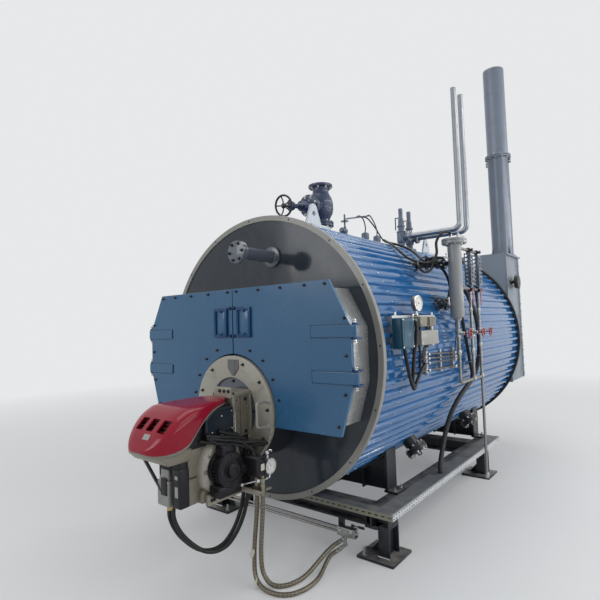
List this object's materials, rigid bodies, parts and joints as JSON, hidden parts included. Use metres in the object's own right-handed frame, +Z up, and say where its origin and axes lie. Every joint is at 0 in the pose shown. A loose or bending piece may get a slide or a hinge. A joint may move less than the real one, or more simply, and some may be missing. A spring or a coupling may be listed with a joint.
{
  "type": "industrial steam boiler",
  "caption": "Horizontal fire-tube steam boiler on a steel skid, with a ribbed blue shell, hinged smokebox doors, an oil burner, a level column, valves and a chimney.",
  "frame": {"origin": "middle of the four anchor holes, on the floor under the shell axis", "axes": "+Z up, -Y is the burner front, the shell axis runs along Y, +X is the side with the level column"},
  "size_m": [2.256, 5.135, 4.95],
  "materials": {
    "clad_blue": "gloss",
    "ring_grey": "satin",
    "dark_steel": "satin",
    "plate_slate": "gloss",
    "door_blue": "gloss",
    "cast_grey": "satin",
    "hood_red": "gloss",
    "black_parts": "satin",
    "grey_box": "satin",
    "galvanised": "dull",
    "valve_blue": "gloss",
    "valve_grey": "satin",
    "polished_steel": "bright",
    "red_wheel": "gloss",
    "pipe_steel": "dull",
    "gauge_metal": "bright",
    "teal": "satin",
    "hose_braid": "dull",
    "black_rubber": "satin"
  },
  "bodies": {
    "frame": {"shell": "clad_blue", "front_ring": "ring_grey", "rear_ring": "dark_steel", "front_plate": "plate_slate", "rear_plate": "plate_slate", "smokebox": "door_blue", "hinge_posts": "door_blue", "burner_throat": "dark_steel", "burner_ring": "ring_grey", "burner_plate": "cast_grey", "burner_body": "cast_grey", "burner_head": "black_parts", "burner_hood": "hood_red", "fan_housing": "cast_grey", "burner_motor": "black_parts", "oil_pump": "black_parts", "control_boxes": "grey_box", "skid_frame": "dark_steel", "legs": "dark_steel", "cable_tray": "galvanised", "saddles": "dark_steel", "hand_holes": "dark_steel", "blind_nozzle": "plate_slate", "lifting_lugs": "ring_grey", "steam_valve": "valve_blue", "relief_valves": "valve_grey", "vent_pipes": "polished_steel", "level_column": "grey_box", "column_valves": "dark_steel", "level_gauges": "valve_grey", "gauge_pipes": "pipe_steel", "instrument_panel": "grey_box", "pressure_gauge": "gauge_metal", "pressure_switches": "grey_box", "junction_box": "grey_box", "teal_box": "teal", "top_fittings": "valve_grey", "flue_box": "grey_box", "stack": "grey_box", "damper_drive": "valve_grey", "oil_pipes": "pipe_steel", "oil_hose_1": "hose_braid", "oil_hose_2": "hose_braid", "conduit_1": "black_rubber", "conduit_2": "black_rubber", "cable_loom": "black_rubber"},
    "right_door": {"right_door": "door_blue"},
    "left_door": {"left_door": "door_blue"},
    "steam_wheel": {"steam_wheel": "valve_blue"},
    "drain_wheel_1": {"drain_wheel_1": "red_wheel"},
    "drain_wheel_2": {"drain_wheel_2": "red_wheel"},
    "drain_wheel_3": {"drain_wheel_3": "red_wheel"}
  },
  "joints": [
    {"name": "right_door_hinge", "type": "hinge", "parent": "frame", "child": "right_door", "pos_m": [1.005, -1.562, 1.4], "axis": [0, 0, 1], "range_deg": [0, 105]},
    {"name": "left_door_hinge", "type": "hinge", "parent": "frame", "child": "left_door", "pos_m": [-1.005, -1.562, 1.4], "axis": [0, 0, 1], "range_deg": [-105, 0]},
    {"name": "steam_wheel_turn", "type": "hinge", "parent": "frame", "child": "steam_wheel", "pos_m": [0, -0.442, 2.695], "axis": [0, -0.9848, -0.1736], "continuous": true},
    {"name": "drain_wheel_1_turn", "type": "hinge", "parent": "frame", "child": "drain_wheel_1", "pos_m": [1.195, -0.142, 1.507], "axis": [1, 0, 0], "continuous": true},
    {"name": "drain_wheel_2_turn", "type": "hinge", "parent": "frame", "child": "drain_wheel_2", "pos_m": [1.195, 0.188, 1.507], "axis": [1, 0, 0], "continuous": true},
    {"name": "drain_wheel_3_turn", "type": "hinge", "parent": "frame", "child": "drain_wheel_3", "pos_m": [1.195, 0.398, 1.507], "axis": [1, 0, 0], "continuous": true}
  ]
}
